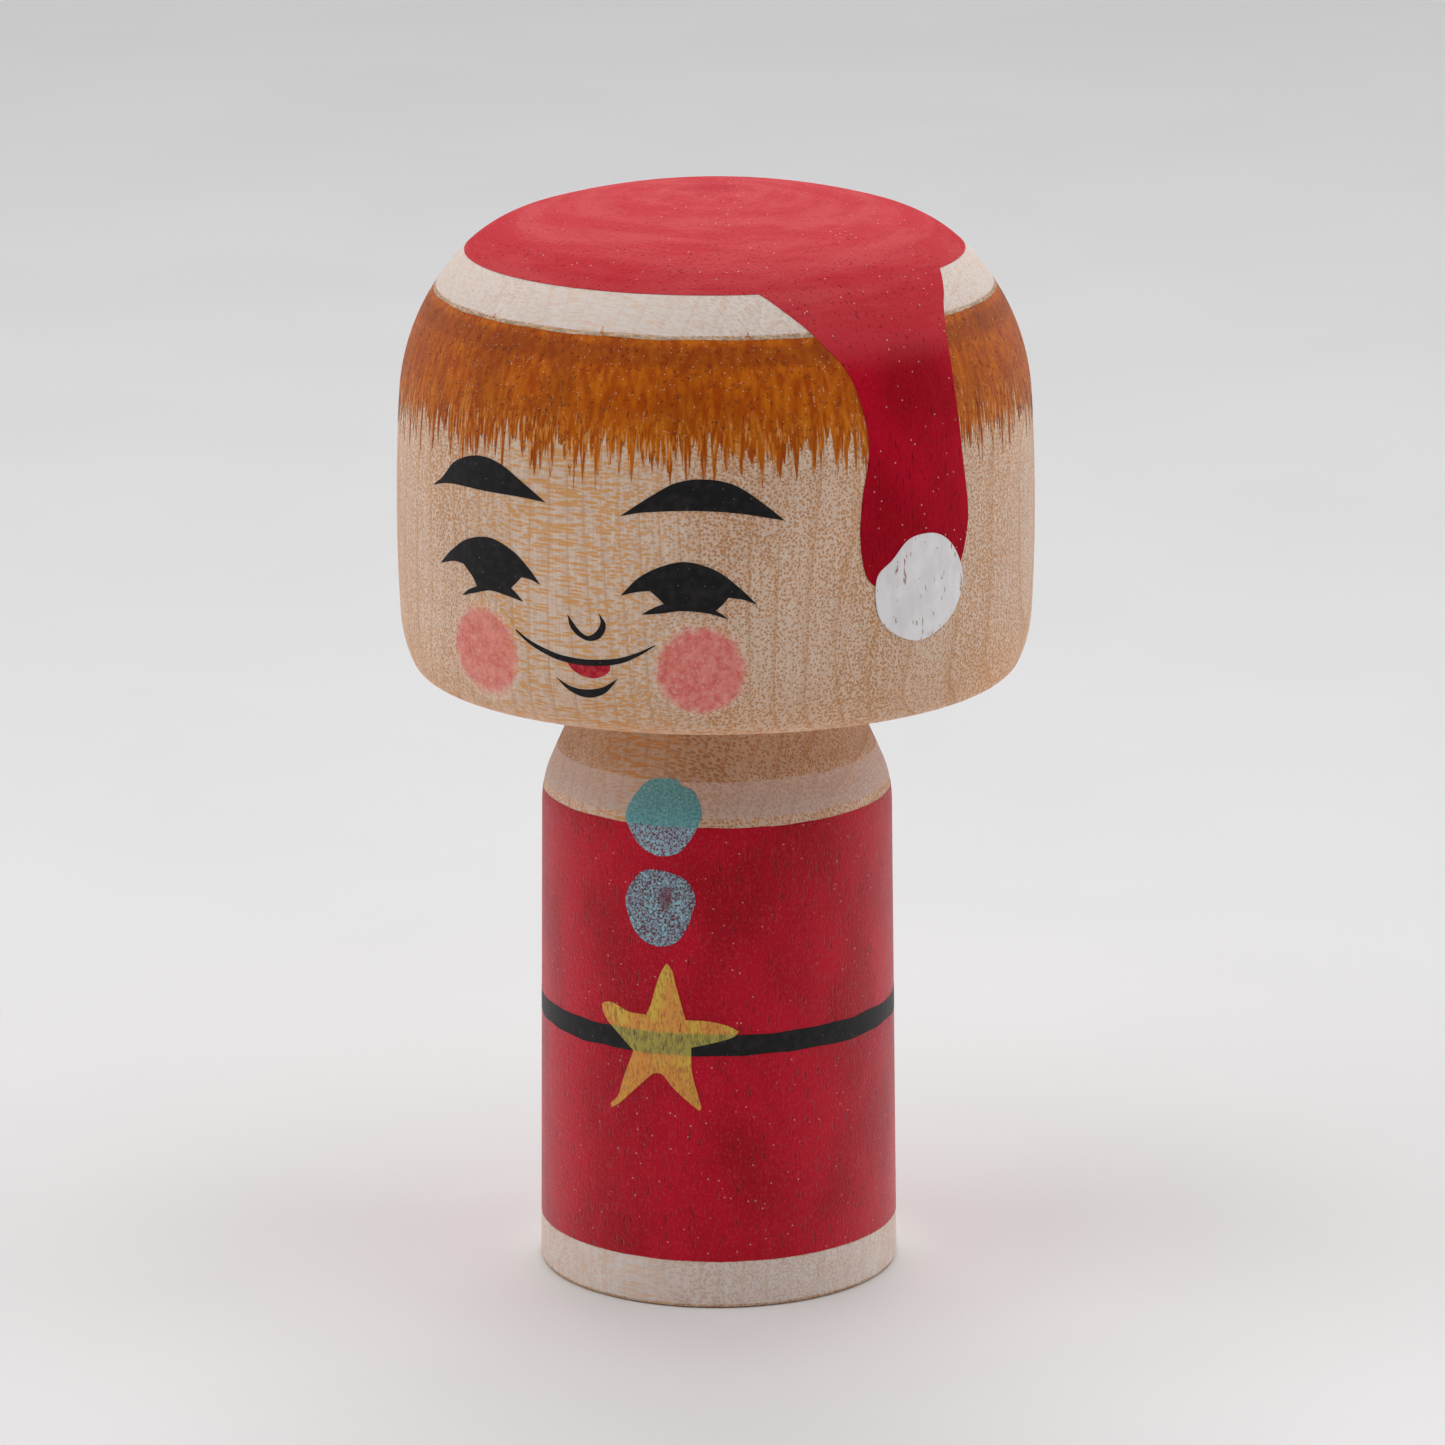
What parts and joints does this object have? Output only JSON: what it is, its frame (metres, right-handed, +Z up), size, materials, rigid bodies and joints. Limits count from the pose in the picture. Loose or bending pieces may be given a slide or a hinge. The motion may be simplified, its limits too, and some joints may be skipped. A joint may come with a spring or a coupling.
{
  "type": "kokeshi doll",
  "caption": "Small turned wooden kokeshi doll with a wide rounded head that turns on a peg in a cylindrical painted body.",
  "frame": {"origin": "middle of the underside of the body, on the turning axis", "axes": "+Z up along the turning axis of body and head; the painted front faces -Y; +X is to the right of a viewer in front of the doll"},
  "size_m": [0.0522, 0.0522, 0.0906],
  "materials": {
    "turned_wood": "fine-sanded bare maple, matt",
    "red_body": "maple under a thin red paint coat, matt",
    "peg_wood": "planed beech, matt",
    "red_paint": "thin brushed acrylic red, matt",
    "white_wash": "translucent white wash over wood, matt",
    "white_paint": "dry-brushed white, matt",
    "hair_stain": "orange-brown water stain on bare wood, matt",
    "black_ink": "dense black ink, matt",
    "pink_blush": "soft stamped pink, matt",
    "blue_paint": "thin brushed blue-green, matt",
    "yellow_paint": "thin brushed yellow and orange, matt"
  },
  "bodies": {
    "body": {"body": "red_body", "neck_dowel": "peg_wood"},
    "head": {"head": "turned_wood"}
  },
  "joints": [
    {"name": "head_turn", "type": "hinge", "parent": "body", "child": "head", "pos_m": [0, 0, 0.0509], "axis": [0, 0, 1], "continuous": true}
  ]
}
